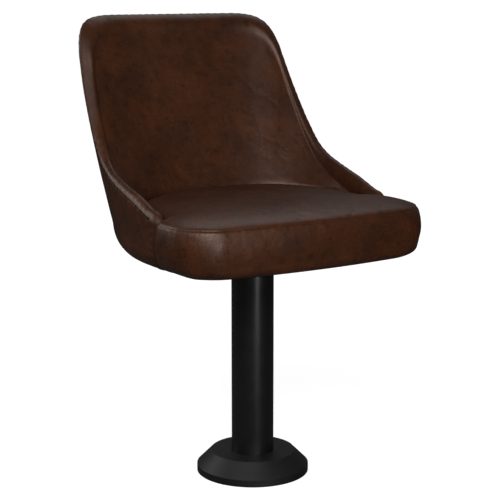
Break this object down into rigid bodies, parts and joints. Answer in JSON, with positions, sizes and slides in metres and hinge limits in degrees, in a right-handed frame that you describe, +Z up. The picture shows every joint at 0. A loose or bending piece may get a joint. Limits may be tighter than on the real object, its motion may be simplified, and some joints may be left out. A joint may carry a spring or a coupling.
{
  "type": "pedestal swivel bucket chair",
  "caption": "Upholstered bucket seat with low wings and a crowned cushion, turning on a round steel pedestal bolted to the floor.",
  "frame": {"origin": "on the floor, at the centre of the floor bolts and on the column's axis", "axes": "+Z up along the column; the chair faces -Y at rest; +X is to the right seen from behind the chair"},
  "size_m": [0.5002, 0.5266, 0.8192],
  "materials": {
    "hide": "dark brown mottled vinyl leather, soft satin",
    "black_paint": "satin black enamel",
    "raw_steel": "dark primed steel",
    "cast_housing": "cast iron",
    "bronze": "sintered bronze",
    "bright_steel": "ground steel",
    "zinc_steel": "zinc plated steel",
    "plywood": "raw plywood",
    "foam": "open cell upholstery foam",
    "cambric": "black woven dust cover"
  },
  "bodies": {
    "pedestal": {"floor_plate": "raw_steel", "column": "black_paint", "column_weld": "raw_steel", "bearing_housing": "cast_housing", "upper_bush": "bronze", "lower_bush": "bronze", "lower_race": "bright_steel"},
    "floor_cover": {"base_cover": "black_paint"},
    "bearing_cage": {"ball_cage": "bronze", "bearing_balls": "bright_steel"},
    "seat": {"upper_race": "bright_steel", "spindle": "bright_steel", "spindle_washer": "zinc_steel", "spindle_nut": "zinc_steel", "split_pin": "zinc_steel", "seat_plate": "black_paint", "seat_bolts": "zinc_steel", "tee_nuts": "zinc_steel", "seat_board": "plywood", "seat_foam": "foam", "seat_top_cover": "hide", "seat_boxing": "hide", "dust_cover": "cambric", "back_rail": "plywood", "back_shell": "plywood", "back_foam": "foam", "nose_pads": "foam", "inside_back_cover": "hide", "outside_back_cover": "hide", "back_straps": "zinc_steel", "strap_screws": "zinc_steel", "shell_screws": "zinc_steel"}
  },
  "joints": [
    {"name": "seat_swivel", "type": "hinge", "parent": "pedestal", "child": "seat", "pos_m": [0, 0, 0.39], "axis": [0, 0, 1], "continuous": true},
    {"name": "cage_turn", "type": "hinge", "parent": "pedestal", "child": "bearing_cage", "pos_m": [0, 0, 0.39], "axis": [0, 0, 1], "continuous": true},
    {"name": "cover_lift", "type": "slide", "parent": "pedestal", "child": "floor_cover", "axis": [0, 0, 1], "range_m": [0, 0.3]}
  ],
  "couplings": [
    {"joint": "cage_turn", "follows": "seat_swivel", "ratio": 0.5}
  ]
}
